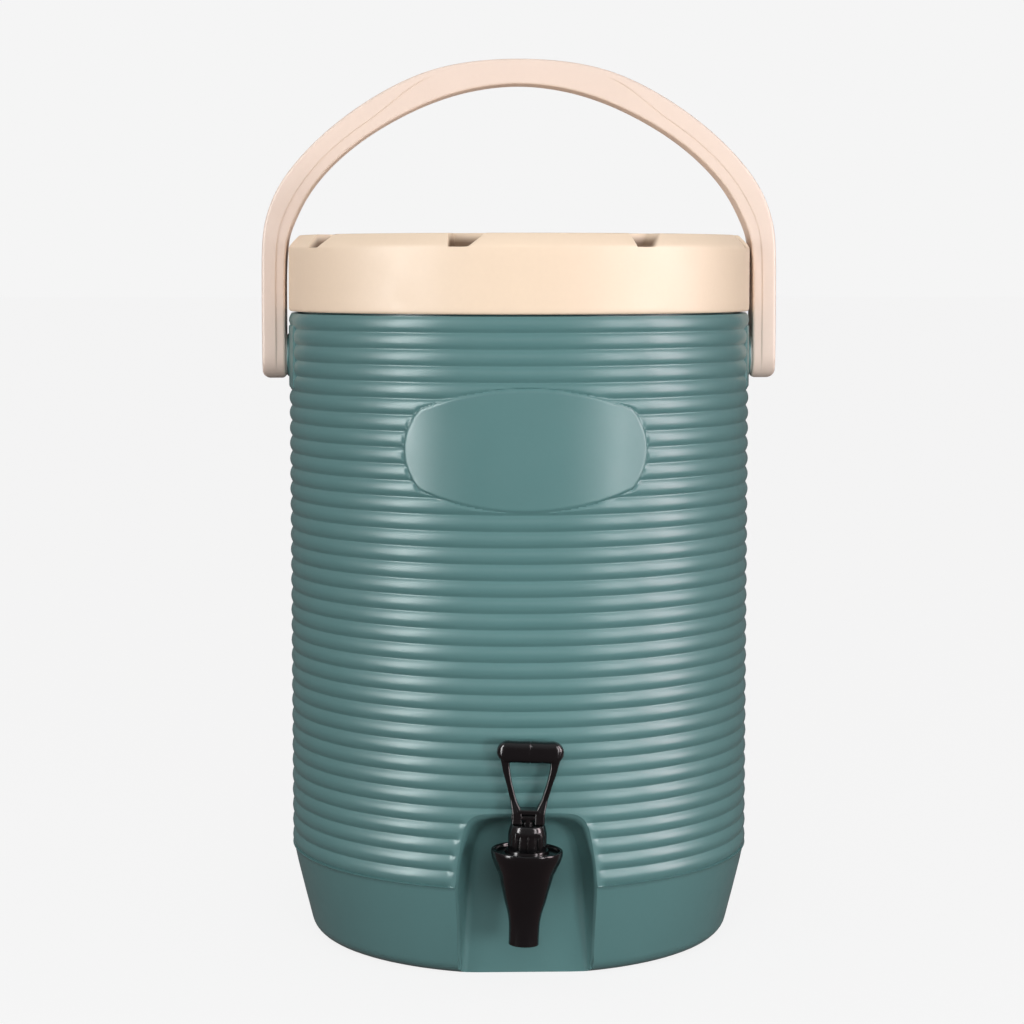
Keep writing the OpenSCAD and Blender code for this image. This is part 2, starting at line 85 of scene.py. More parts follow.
def rounded(points, radius, steps=4, closed=False):
    """The outline with each corner turned into a short curve; radius is one number or one per point."""
    p = np.asarray(points, float)
    n = len(p)
    radii = np.broadcast_to(radius, n)
    out = []
    for i in range(n):
        if not closed and i in (0, n - 1) or radii[i] <= 0:
            out.append(p[i])
            continue
        before, after = p[i - 1] - p[i], p[(i + 1) % n] - p[i]
        la, lb = np.linalg.norm(before), np.linalg.norm(after)
        cut = min(radii[i], 0.48 * la, 0.48 * lb)
        a, b = p[i] + before / la * cut, p[i] + after / lb * cut
        for k in range(steps + 1):
            t = k / steps
            out.append((1 - t) ** 2 * a + 2 * t * (1 - t) * p[i] + t * t * b)
    return np.array(out)


# ---------- mesh helpers ----------

def make(name, verts, faces, smooth_angle=35):
    mesh = bpy.data.meshes.new(name)
    mesh.from_pydata((np.asarray(verts, float) * MM).tolist(), [], faces)
    mesh.validate()
    obj = bpy.data.objects.new(name, mesh)
    bpy.context.scene.collection.objects.link(obj)
    tidy(obj, smooth_angle)
    return obj


def tidy(obj, smooth_angle):
    """Welds the seams, turns the faces outwards and sets smooth shading with sharp edges."""
    mesh = obj.data
    work = bmesh.new()
    work.from_mesh(mesh)
    bmesh.ops.remove_doubles(work, verts=work.verts, dist=1e-6)
    bmesh.ops.recalc_face_normals(work, faces=work.faces)
    work.to_mesh(mesh)
    work.free()
    mesh.shade_smooth()
    mesh.set_sharp_from_angle(angle=math.radians(smooth_angle))


def rings(name, loops, smooth_angle=35, join_ends=False):
    """A skin over closed loops of equal length; the ends are filled, or the last loop meets the first."""
    loops = np.asarray(loops, float)
    count, size = loops.shape[:2]
    faces = []
    for i in range(count if join_ends else count - 1):
        lower, upper = i * size, (i + 1) % count * size
        for j in range(size):
            k = (j + 1) % size
            faces.append((lower + j, lower + k, upper + k, upper + j))
    if not join_ends:
        faces.append(tuple(range(size))[::-1])
        faces.append(tuple(range((count - 1) * size, count * size)))
    return make(name, loops.reshape(-1, 3), faces, smooth_angle)


def lathe(name, profile, turns=128, along="z", centre=(0, 0, 0), wave=None):
    """Turns a closed (radius, height) outline; wave(angle, radius, height) may change the radius."""
    profile = np.asarray(profile, float)
    angle = np.linspace(0, 2 * math.pi, turns, endpoint=False)
    r, a = np.meshgrid(profile[:, 0], angle, indexing="ij")
    h = np.repeat(profile[:, 1:2], turns, 1)
    if wave is not None:
        r = wave(a, r, h)
    u, v = r * np.cos(a), r * np.sin(a)
    order = {"z": (u, v, h), "x": (h, u, v), "y": (v, h, u)}[along]
    loops = np.stack(order, -1) + np.asarray(centre, float)
    on_axis = bool(profile[0, 0] < 1e-9 and profile[-1, 0] < 1e-9)
    if not on_axis:
        return rings(name, loops, join_ends=True)
    verts = [loops[0, 0], *loops[1:-1].reshape(-1, 3), loops[-1, 0]]
    faces, last = [], len(profile) - 3
    for j in range(turns):
        k = (j + 1) % turns
        faces.append((0, 1 + k, 1 + j))
        for i in range(last):
            lower, upper = 1 + i * turns, 1 + (i + 1) * turns
            faces.append((lower + j, lower + k, upper + k, upper + j))
        faces.append((1 + last * turns + j, 1 + last * turns + k, len(verts) - 1))
    return make(name, verts, faces)


def combine(obj, tool, operation, smooth_angle=35):
    """Joins or cuts obj with tool, which is used up."""
    step = obj.modifiers.new("combine", "BOOLEAN")
    step.operation, step.object, step.solver = operation, tool, "MANIFOLD"
    graph = bpy.context.evaluated_depsgraph_get()
    graph.update()
    result = bpy.data.meshes.new_from_object(obj.evaluated_get(graph))
    obj.modifiers.clear()
    old, obj.data = obj.data, result
    result.name = obj.name
    bpy.data.meshes.remove(old)
    bpy.data.objects.remove(tool)
    if not result.polygons:
        raise RuntimeError(f"nothing is left of {obj.name} after {operation}")
    result.shade_smooth()
    result.set_sharp_from_angle(angle=math.radians(smooth_angle))
    return obj


def finish_piece(obj, body, slot, material, *replaced):
    """Gives a piece its material and its body, and hides the CAD nodes that it stands for; the slot argument
    is not used.
    """
    obj.data.materials.clear()
    obj.data.materials.append(material)
    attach(obj, body)
    if replaced:
        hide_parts(*replaced)
    return obj


def on_tap_axis(obj):
    """Moves a piece from the tap's own axes to its place on the barrel."""
    c, s = math.cos(TILT), math.sin(TILT)
    co = np.zeros(len(obj.data.vertices) * 3)
    obj.data.vertices.foreach_get("co", co)
    co = co.reshape(-1, 3)
    turned = np.stack([co[:, 0] * c + co[:, 2] * s, co[:, 1], -co[:, 0] * s + co[:, 2] * c], -1)
    obj.data.vertices.foreach_set("co", (turned + TAP * MM).ravel())
    obj.data.update()
    return obj


# ---------- materials ----------

SPECK, SCUFF = 0.03, 0.10


def material(name, colour, rough, *, metallic=0.0, spread=0.06, grain=700.0, grain_depth=0.04,
             blotch=9.0, stretch=(1, 1, 1), ior=1.49, painted_shade=None):
    """Moulded or worked surface: colour drifts slowly, fine grain in the bump, scuffs in the gloss.

    The last argument is a painted shade colour, mixed in where the mesh attribute of the same name is high."""
    made = bpy.data.materials.new(name)
    made.use_nodes = True
    tree = made.node_tree
    add, link = tree.nodes.new, tree.links.new
    shader = tree.nodes["Principled BSDF"]
    shader.inputs["Metallic"].default_value = metallic
    shader.inputs["IOR"].default_value = ior
    place = add("ShaderNodeTexCoord")
    scale = add("ShaderNodeMapping")
    scale.inputs["Scale"].default_value = stretch
    link(place.outputs["Object"], scale.inputs["Vector"])

    def noise(size, detail, rough_noise=0.55):
        n = add("ShaderNodeTexNoise")
        n.inputs["Scale"].default_value = size
        n.inputs["Detail"].default_value = detail
        n.inputs["Roughness"].default_value = rough_noise
        link(scale.outputs["Vector"], n.inputs["Vector"])
        return n.outputs["Fac"]

    drift = add("ShaderNodeValToRGB")
    drift.color_ramp.elements[0].position, drift.color_ramp.elements[1].position = 0.3, 0.7
    drift.color_ramp.elements[0].color = (*[c * (1 - spread) for c in colour], 1)
    drift.color_ramp.elements[1].color = (*[min(c * (1 + spread), 1) for c in colour], 1)
    link(noise(blotch, 3), drift.inputs["Fac"])
    speck = add("ShaderNodeMix")
    speck.data_type, speck.blend_type = "RGBA", "MULTIPLY"
    speck.inputs["Factor"].default_value = SPECK
    link(drift.outputs["Color"], speck.inputs[6])
    link(noise(grain * 0.6, 2), speck.inputs[7])
    painted = speck.outputs[2]
    # Painted shade: a dark colour is mixed in where the mesh attribute is high, standing in for shade in
    # hollows.
    if painted_shade:
        shade_source = add("ShaderNodeAttribute")
        shade_source.attribute_name = "painted_shade"
        shade_mix = add("ShaderNodeMix")
        shade_mix.data_type = "RGBA"
        shade_mix.inputs[7].default_value = (*painted_shade, 1)
        link(shade_source.outputs["Fac"], shade_mix.inputs["Factor"])
        link(painted, shade_mix.inputs[6])
        painted = shade_mix.outputs[2]
    link(painted, shader.inputs["Base Color"])
    gloss = add("ShaderNodeMapRange")
    gloss.inputs["From Min"].default_value, gloss.inputs["From Max"].default_value = 0.35, 0.75
    gloss.inputs["To Min"].default_value = rough * (1 - SCUFF)
    gloss.inputs["To Max"].default_value = min(rough * (1 + 2.2 * SCUFF), 1)
    link(noise(blotch * 6, 8, 0.7), gloss.inputs["Value"])
    link(gloss.outputs["Result"], shader.inputs["Roughness"])
    bump = add("ShaderNodeBump")
    bump.inputs["Strength"].default_value = grain_depth
    bump.inputs["Distance"].default_value = 0.001
    link(noise(grain, 2), bump.inputs["Height"])
    link(bump.outputs["Normal"], shader.inputs["Normal"])
    return made


MATS = {
    "shell": material("teal_moulded_plastic", (0.086, 0.195, 0.195), 0.34, spread=0.03, grain=420,
                      grain_depth=0.02),
    # The lid's last argument is a painted shade colour: dark brown for the shade inside the finger notches.
    "lid": material("cream_moulded_plastic", (0.80, 0.65, 0.49), 0.50, spread=0.02, grain=520,
                    grain_depth=0.02, painted_shade=(0.16, 0.09, 0.045)),
    "handle": material("pinkish_cream_plastic", (0.77, 0.64, 0.55), 0.42, spread=0.02, grain=520,
                       grain_depth=0.03),
    "tap_black": material("black_moulded_plastic", (0.004, 0.004, 0.0045), 0.17, spread=0.2, grain=800,
                          grain_depth=0.02),
    "steel": material("satin_steel", (0.60, 0.61, 0.62), 0.30, metallic=1.0, spread=0.05,
                      stretch=(1, 1, 14), grain=240, grain_depth=0.05),
    "silicone": material("milky_silicone", (0.56, 0.56, 0.52), 0.55, spread=0.05, ior=1.41),
    "brass": material("turned_brass", (0.62, 0.42, 0.15), 0.28, metallic=1.0, spread=0.08,
                      stretch=(14, 1, 1), grain=300, grain_depth=0.05),
    "foam": material("rigid_foam", (0.78, 0.66, 0.36), 0.85, spread=0.12, grain=260, grain_depth=0.6,
                     blotch=60),
}
slots = {s["node"]: s["material_slot"] for s in frame["record"]["subparts"]}
for name, obj in nodes.items():
    obj.data.materials.clear()
    obj.data.materials.append(MATS[slots[name]])


# ---------- shell ----------

def outline_distance(half, x, z):
    """Signed distance to a symmetric outline given by its right half; negative inside."""
    right = rounded(np.array(half, float), 9, 6)
    p = np.concatenate([right, right[::-1] * [-1, 1]])
    q = np.roll(p, -1, 0)
    best = np.full(x.shape, 1e9)
    inside = np.zeros(x.shape, bool)
    for a, b in zip(p, q):
        e = b - a
        if e @ e < 1e-12:
            continue
        t = np.clip(((x - a[0]) * e[0] + (z - a[1]) * e[1]) / (e @ e), 0, 1)
        best = np.minimum(best, np.hypot(x - a[0] - t * e[0], z - a[1] - t * e[1]))
        if a[1] != b[1]:
            crosses = (a[1] > z) != (b[1] > z)
            inside ^= crosses & (x < a[0] + (z - a[1]) / (b[1] - a[1]) * e[0])
    return np.where(inside, -best, best)


# Right half of the tap recess's outline, in the barrel's wall (MOUTH) and on the recess's floor (FLOOR).
MOUTH = [[0, -6], [49, -6], [49, 60], [46.5, 84], [42.5, 96], [38, 107], [33, 109], [0, 109]]
FLOOR = [[0, -6], [41, -6], [37, 41], [34.5, 70], [30.5, 88], [26, 95], [19, 98.5], [0, 98.5]]
MOUTH_Y, FLOOR_Y = -162.0, -127.0

# Label panel: two long arcs cross two round ends. Handle pads: plain rectangles round the pivots.
PANEL_Z, PANEL_HALF_H, PANEL_ARC_R = 337.25, 37.75, 177.6
PANEL_END_X, PANEL_END_R = 39.6, 36.7
PAD_Z, PAD_HALF_W, PAD_HALF_H = 391.5, 37, 20.5
OUTSIDE = 99.0                              # a distance well outside any outline

HOLLOW_R, HOLLOW_TOP, NECK_R = 149.8, 417.6, 139


def rib_depth(z):
    """How far the ribbed wall lies below the crests: round ribs that meet in a small valley."""
    half, sag, fillet = PITCH / 2, 1.95, 0.9
    arc = (half * half + sag * sag) / (2 * sag)
    low, high = 0.0, fillet * 0.99
    for _ in range(40):
        mid = (low + high) / 2
        rib_slope = (half - mid) / math.sqrt(arc ** 2 - (half - mid) ** 2)
        if mid / math.sqrt(fillet ** 2 - mid ** 2) < rib_slope:
            low = mid
        else:
            high = mid
    bottom = arc - math.sqrt(arc ** 2 - (half - low) ** 2) + fillet - math.sqrt(fillet ** 2 - low ** 2)
    q = np.mod(z - RIB_FOOT, PITCH)
    q = np.minimum(q, PITCH - q)
    rib = arc - np.sqrt(arc ** 2 - (half - q) ** 2)
    valley = bottom - (fillet - np.sqrt(np.maximum(fillet ** 2 - q ** 2, 0)))
    return np.where(q < low, valley, rib)


def shell_radius(x, y, z, nominal):
    """Radius of the outer wall: ribs, label panel, handle pads and the smooth rim of the recess."""
    depth = np.where((z > RIB_FOOT) & (z < SHELL_TOP), rib_depth(z), 0.0)
    front = y < 0
    lens = np.maximum(np.hypot(x, z - PANEL_Z - PANEL_HALF_H + PANEL_ARC_R) - PANEL_ARC_R,
                      np.hypot(x, z - PANEL_Z + PANEL_HALF_H - PANEL_ARC_R) - PANEL_ARC_R)
    stadium = np.minimum(np.hypot(np.abs(x) - PANEL_END_X, z - PANEL_Z) - PANEL_END_R,
                         np.maximum(np.abs(x) - PANEL_END_X, np.abs(z - PANEL_Z) - PANEL_HALF_H - 2))
    panel = np.where(front, np.maximum(lens, stadium), OUTSIDE)
    pad = np.where(np.abs(x) > 100, np.maximum(np.abs(y) - PAD_HALF_W, np.abs(z - PAD_Z) - PAD_HALF_H),
                   OUTSIDE)
    away = np.where(front, outline_distance(MOUTH, x, z), OUTSIDE)
    depth = depth * smooth(-2.0, 1.6, away)
    for area, edge in ((panel, 2.2), (pad, 2.4)):
        depth = depth * smooth(-0.4, edge, area) - 0.2 * (1 - smooth(-1.5, 0.0, area))
        depth = soft_max(depth, 1.25 * np.exp(-((area - 0.9) / 0.8) ** 2) - 0.25, 0.25)
    return nominal - depth


def shell_columns():
    """Angles from the front towards +X, closer together where the panel and the pads have edges."""
    x = np.concatenate([np.arange(0, 40, 2.5), np.arange(40, 56, 1.6), np.arange(56, 78.5, 0.8)])
    side = list(np.degrees(np.arcsin(x / CREST_R)))
    side += list(np.arange(side[-1] + 2.5, 73, 3.6))
    side += list(np.arange(74.6, 78.4, 0.42)) + [80, 83, 86.5, 90, 93.5, 97, 100]
    side += list(np.arange(101.6, 105.4, 0.42)) + list(np.arange(108.5, 178.5, 4.0)) + [180]
    side = np.array(side)
    return np.radians(np.concatenate([side, 360 - side[1:-1][::-1]]))


def shell_rows():
    """Radius and height down the outer wall, from the centre of the top to the centre of the base."""
    heights = []
    for i in range(RIBS):
        heights += [RIB_FOOT + i * PITCH + s for s in
                    (0, 0.4, 0.85, 1.8, 3.3, 5.145, 6.99, 8.49, 9.44, 9.89)]
    heights.append(SHELL_TOP - 0.01)
    heights = sorted(heights)
    for low, high in ((298, 318), (356, 377), (96, 113), (409.5, 413)):
        extra = [(a + b) / 2 for a, b in zip(heights, heights[1:]) if b - a > 0.9 and low < a < high]
        heights = sorted(heights + extra)
    wall = [(CREST_R, h) for h in heights]
    taper = [(154.0, 59.25), (153.55, 57.3), (151.8, 49), (149.4, 39), (147.0, 29), (144.6, 19.5)]
    corner = [(130.4 + 12 * math.cos(math.radians(a)), 12 * (1 + math.sin(math.radians(a))))
              for a in np.arange(-12, -91, -9.75)]
    return wall[::-1] + taper + corner


def shell():
    """The ribbed wall, hollowed, with its pivot bosses, tap recess, neck and underside."""
    phi = shell_columns()
    rows = shell_rows()
    radius = np.array([r for r, _ in rows])[:, None]
    z = np.array([h for _, h in rows])[:, None] + 0 * phi[None, :]
    x, y = radius * np.sin(phi), -radius * np.cos(phi)
    r = shell_radius(x, y, z, radius + 0 * phi[None, :])
    outer = np.stack([r * np.sin(phi), -r * np.cos(phi), z], -1)
    skin = rings("outer_shell_moulding", outer, CRISP)
    hollow = lathe("hollow", rounded([(0, 4), (129.4, 4), (139.5, 14), (HOLLOW_R, RIB_FOOT),
                                      (HOLLOW_R, HOLLOW_TOP), (NECK_R, HOLLOW_TOP), (NECK_R, 425),
                                      (0, 425)], 1.0), 160)
    bulge = recess_body("bulge", 2.8)
    combine(hollow, bulge, "DIFFERENCE")
    combine(skin, hollow, "DIFFERENCE", CRISP)
    for side in (-1, 1):
        boss = rounded([(0, side * 138), (14.5, side * 138), (14.5, side * 156.2), (0, side * 156.2)],
                       [0, 1.5, 1.2, 0])
        combine(skin, lathe("boss", boss, 64, "x", (0, 0, PIVOT_Z)), "UNION", CRISP)
        bore = [(0, side * 137), (6.5, side * 137), (6.5, side * 152), (PIVOT_BORE_R, side * 152),
                (PIVOT_BORE_R, side * 158), (0, side * 158)]
        combine(skin, lathe("bore", bore, 48, "x", (0, 0, PIVOT_Z)), "DIFFERENCE", CRISP)
    combine(skin, recess_body("recess", 0.0), "DIFFERENCE", CRISP)
    combine(skin, lathe("shank_hole", [(0, -140), (8.3, -140), (8.3, -118), (0, -118)], 48, "y",
                        (TAP[0], 0, TAP[2])), "DIFFERENCE", CRISP)
    ring = rounded([(60, -1), (60, 2), (104, 2), (104, -1)], [0, 1.2, 1.2, 0])
    combine(skin, lathe("foot_hollow", ring, 128), "DIFFERENCE", CRISP)
    combine(skin, lathe("plug_hole", [(0, -1), (10, -1), (10, 6), (0, 6)], 64), "DIFFERENCE", CRISP)
    finish_piece(skin, "barrel", "shell", MATS["shell"], "outer_shell")


def recess_body(name, grow):
    """The recess as a solid: its floor corner is filleted and its rim flares into the barrel's wall.

    grow adds a wall's thickness all round, for the bulge that the recess makes inside the shell."""
    mouth = rounded(np.array(MOUTH, float)[1:-1], [0, 0, 10, 7, 7, 7], 6)
    floor = rounded(np.array(FLOOR, float)[1:-1], [0, 6, 10, 8, 8, 8], 6)

    def resample(p, n):
        p = np.concatenate([p, [[0, p[-1][1]]]])
        p = np.concatenate([p, p[-2::-1] * [-1, 1]])
        run = np.concatenate([[0], np.cumsum(np.hypot(*np.diff(p, axis=0).T))])
        at = np.linspace(0, run[-1], n)
        return np.stack([np.interp(at, run, p[:, 0]), np.interp(at, run, p[:, 1])], -1)

    count = 121
    mouth, floor = resample(mouth, count), resample(floor, count)
    away = np.gradient(mouth, axis=0)
    away = np.stack([away[:, 1], -away[:, 0]], -1)
    away /= np.linalg.norm(away, axis=1)[:, None]
    if away[count // 2, 1] < 0:
        away = -away
    loops = []
    fillet = 4.0
    stations = [(FLOOR_Y + grow, -fillet * (1 - math.sin(a)), fillet * (1 - math.cos(a)))
                for a in np.linspace(0, math.pi / 2, 6)] if not grow else [(FLOOR_Y + grow, 0, 0)]
    for y0, pull, lift in stations:
        y = y0 - lift
        d = (y - MOUTH_Y) / (FLOOR_Y - MOUTH_Y)
        flat = mouth + (floor - mouth) * d + away * (pull + grow)
        loops.append(np.stack([flat[:, 0], np.full(count, y), flat[:, 1]], -1))
    flare = 2.4 + 1.9 * smooth(84, 106, mouth[:, 1])        # softer over the arch
    for below in (20, 14, 9, 5.5, 4.2, 3.2, 2.4, 1.7, 1.1, 0.6, 0.22, -0.5):
        flat = mouth.copy()
        for _ in range(4):
            radius = np.interp(flat[:, 1], [0, 3, 12, 59, 62], [131, 137.5, 142.8, 154, 155])
            wall = -np.sqrt(np.maximum(radius ** 2 - flat[:, 0] ** 2, 1.0))
            y = np.minimum(wall + below, FLOOR_Y - 4.5)
            d = (y - MOUTH_Y) / (FLOOR_Y - MOUTH_Y)
            inner = np.maximum(flare - max(below, 0.12), 0)
            open_by = 0 * flare if grow else flare - np.sqrt(flare ** 2 - inner ** 2)
            flat = mouth + (floor - mouth) * d[:, None] + away * (open_by + grow)[:, None]
        loops.append(np.stack([flat[:, 0], y, flat[:, 1]], -1))
    loops.append(np.stack([flat[:, 0], np.full(count, -200.0), flat[:, 1]], -1))
    return rings(name, loops, CRISP)


# ---------- lid ----------

NOTCH_FLOOR, NOTCH_DEPTH, NOTCH_HALF = 463.4, 8.6, 6.5
STEEP_RUN, SLOPE_RUN, BACK_RUN = 1.5, 9.0, 3.4      # how far each wall of a notch leans out over its depth
NOTCH_BACK_R = 136
LID_SKIN = 2.4                                      # left under a notch


def lid_cover():
    """Lid with a raised rim, eight finger notches and the vent's hole; its notches get painted shade that
    darkens with depth.
    """
    notch_at = [29 + 45 * k for k in range(8)]
    offsets = np.concatenate([np.arange(-4.4, -3.6, 0.2), np.arange(-3.6, -2.2, 0.07),
                              np.arange(-2.1, 2.2, 0.7), np.arange(2.2, 7.4, 0.26), np.arange(10, 39, 3.6)])
    phi = np.radians(np.sort(np.concatenate([a + offsets for a in notch_at]) % 360))
    top = [(2, 470.5), (40, 470.5), (80, 470.5), (110, 470.5), (118, 470.5), (120.4, 470.7),
           (121.4, 471.4), (122.4, 471.9), (123.6, 472), (129, 472)]
    top += [(r, 472) for r in np.arange(132, 146.4, 0.8)]
    bevel = [(146.9, 472), (147.4, 471.93), (147.9, 471.7), (148.5, 471.2), (149.2, 470.5), (150.2, 469.5),
             (151.2, 468.5), (152.2, 467.4), (153.1, 466.3), (153.9, 465.3), (154.5, 464.4), (154.9, 463.5),
             (155, 462.4)]
    side = [(155, 455), (155, 445), (155, 435), (155, 426), (154.95, 423.4), (154.7, 422.5), (154.2, 421.9),
            (153.4, 421.62)]
    inner = [(152.4, 421.6), (152, 422.0), (152, 461), (146, 467.4), (100, 467.4), (2, 467.4)]
    loops = []
    for r, h in top + bevel + side + inner:
        rr, z = np.full(len(phi), float(r)), np.full(len(phi), float(h))
        skin = LID_SKIN if (r, h) in inner else 0
        if h >= 461:                                # the inner skin passes below the notches too
            for a in notch_at:
                across = r * np.sin(phi - math.radians(a))
                near = np.cos(phi - math.radians(a)) > 0.9
                steep = NOTCH_FLOOR + (-across - NOTCH_HALF) * NOTCH_DEPTH / STEEP_RUN
                slope = NOTCH_FLOOR + (across - NOTCH_HALF) * NOTCH_DEPTH / SLOPE_RUN
                back = NOTCH_FLOOR + (NOTCH_BACK_R + BACK_RUN - r) * NOTCH_DEPTH / BACK_RUN
                cut = soft_max(soft_max(soft_max(steep, slope, 1.2), back, 2.2), NOTCH_FLOOR, 1.6)
                z = np.where(near, -soft_max(-z, skin - cut, 0.9), z)
        z = np.minimum(z, h)
        loops.append(np.stack([rr * np.sin(phi), -rr * np.cos(phi), z], -1))
    cover = rings("lid_cover_moulding", loops, CRISP)
    hole = lathe("vent_hole", [(0, 460), (9.06, 460), (9.06, 480), (0, 480)], 48, centre=(0, 55, 0))
    combine(cover, hole, "DIFFERENCE", CRISP)
    # Painted shade: each point in a notch gets a darker brown the deeper it lies below the lid's top,
    # standing in for the shade inside the notches.
    co = np.zeros(len(cover.data.vertices) * 3)
    cover.data.vertices.foreach_get("co", co)
    co = co.reshape(-1, 3) / MM
    radius = np.hypot(co[:, 0], co[:, 1])
    level = np.interp(radius, [r for r, _ in (top + bevel)], [h for _, h in (top + bevel)])
    sunk = np.where((co[:, 2] > 462.5) & (radius > 128) & (radius < 154.8), level - co[:, 2], 0)
    painted_shade = cover.data.attributes.new("painted_shade", "FLOAT", "POINT")
    painted_shade.data.foreach_set("value", 0.92 * smooth(0.4, 6.5, sunk))
    finish_piece(cover, "lid", "lid", MATS["lid"], "lid_cover")


# ---------- handle ----------

STRAP_IN, STRAP_OUT, STRAP_HALF = 157, 172.6, 15.5   # an arm's two faces and half its width
# Half of the arch's outer and inner edges: distance from the axis, and height above the seam.
OUTER = [(172.6, 5), (172.4, 40), (171, 58), (163.6, 80), (150.5, 98.5), (131.5, 118.2), (105.5, 138.1),
         (72, 156.8), (38, 166.2), (0, 168.5)]
INNER = [(157, 5), (156.8, 35), (154.8, 51), (151.4, 59), (142.7, 78.2), (125.6, 98.4), (100.8, 118.9),
         (65, 138), (33, 148.6), (0, 152.5)]


def strap_section(inner, outer, half, step, drop):
    """One slice of the strap: rounded edges, and a band along the inside edge that lies a little lower."""
    across = outer - inner
    thick = np.linalg.norm(across)
    unit = across / thick
    ro, ri = min(2.6, thick * 0.3, half * 0.8), min(1.8, thick * 0.25, half * 0.7)
    split = 0.4 * thick * step + (thick - ro - 1.6) * (1 - step)
    drop = 0.85 * drop
    quarter = rounded([(0, 0), (0, half - drop), (max(split - 0.5, ri + 0.6), half - drop),
                       (min(split + 0.3, thick - ro - 0.3), half), (thick, half), (thick, 0)],
                      [0, ri, 0.35, 0.35, ro, 0], 5)
    ring = np.concatenate([quarter, (quarter * [1, -1])[::-1][1:-1]])
    return np.stack([inner[0] + unit[0] * ring[:, 0], ring[:, 1],
                     inner[1] + unit[1] * ring[:, 0] + SEAM], -1)


def calm(points):
    """Smooth curve through the points, which meets its own mirror image without a kink."""
    p = spline(points, 9)
    for _ in range(3):
        q = np.concatenate([p[:1].repeat(4, 0), p, (p[-5:-1] * [-1, 1])[::-1]])
        p[1:] = np.stack([q[k:k + len(p)] for k in range(9)]).mean(0)[1:]
    return p


def handle():
    """The strap with its round ends, cap pockets and pivot bores, and the two caps."""
    foot = PIVOT_Z - STRAP_HALF - SEAM
    stations = []
    for h in (0.05, 0.35, 0.9, 1.8, 3.0, 4.6, 6.5, 9, 12, 15.5, 20, 26):
        z = foot + h
        out = STRAP_OUT - (5 - math.sqrt(25 - (5 - h) ** 2) if h < 5 else 0)
        inn = STRAP_IN + (3 - math.sqrt(9 - (3 - h) ** 2) if h < 3 else 0)
        half = STRAP_HALF
        if h < STRAP_HALF:
            half = math.sqrt(max(STRAP_HALF ** 2 - (PIVOT_Z - SEAM - z) ** 2, 0.5))
        stations.append((np.array([inn, z]), np.array([out, z]), half))
    for a, b in zip(calm(INNER), calm(OUTER)):
        stations.append((a, b, STRAP_HALF))
    stations += [(i * [-1, 1], o * [-1, 1], half) for i, o, half in stations[-2::-1]]
    loops = []
    for i, o, half in stations:
        middle = abs(i[0] + o[0]) / 2
        rise = float(smooth(56, 104, middle)) if i[1] > 5 else 1.0
        drop = float(smooth(56, 66, middle)) if i[1] > 5 else float(smooth(376, 400, i[1] + SEAM))
        loops.append(strap_section(i, o, half, rise, drop))
    strap = rings("carry_handle_strap", loops, 38)
    for side in (-1, 1):
        pocket = [(0, side * 167.6), (9.5, side * 167.6), (9.5, side * 172.2), (9.9, side * 172.8),
                  (9.9, side * 175), (0, side * 175)]
        combine(strap, lathe("pocket", pocket, 64, "x", (0, 0, PIVOT_Z)), "DIFFERENCE", 38)
        bore = [(0, side * 150), (PIVOT_BORE_R, side * 150), (PIVOT_BORE_R, side * 170), (0, side * 170)]
        combine(strap, lathe("bore", bore, 48, "x", (0, 0, PIVOT_Z)), "DIFFERENCE", 38)
    finish_piece(strap, "handle", "handle", MATS["handle"], "carry_handle")
    for side, name in ((-1, "pivot_cap_left"), (1, "pivot_cap_right")):
        dome = [(0, 172.8), (4, 172.77), (7, 172.66), (8.6, 172.45), (9.2, 172.1), (9.3, 171.6), (9.3, 170.8),
                (0, 170.8)]
        cap = lathe(name, [(r, side * x) for r, x in dome], 64, "x", (0, 0, PIVOT_Z))
        finish_piece(cap, "handle", "handle", MATS["handle"], *(["pivot_caps"] if side > 0 else []))


# ---------- tap ----------
# These pieces are drawn on the tap's own axes: Z along the spout, y towards the barrel.

SPOUT_R, SPOUT_BORE_R, SPOUT_END = 9.5, 7.5, -42
CHAMBER_R = 11                              # inside of the cone, below the bonnet
CUP_R, CUP_TOP, CUP_STEP = 22.5, 18.5, 15.6 # rim of the cone
BONNET_R = 12.2
PIN_Z = 38.5


def bar(name, stations, corner=1.2):
    """A bar through (centre, half width x, half depth y) slices stacked along Z, with rounded corners."""
    loops = []
    for (cx, cy, z), hx, hy in stations:
        flat = rounded([(-hx, -hy), (hx, -hy), (hx, hy), (-hx, hy)], min(corner, hx * 0.9, hy * 0.9), 5,
                       closed=True)
        loops.append(np.stack([flat[:, 0] + cx, flat[:, 1] + cy, np.full(len(flat), float(z))], -1))
    return rings(name, loops, 38)


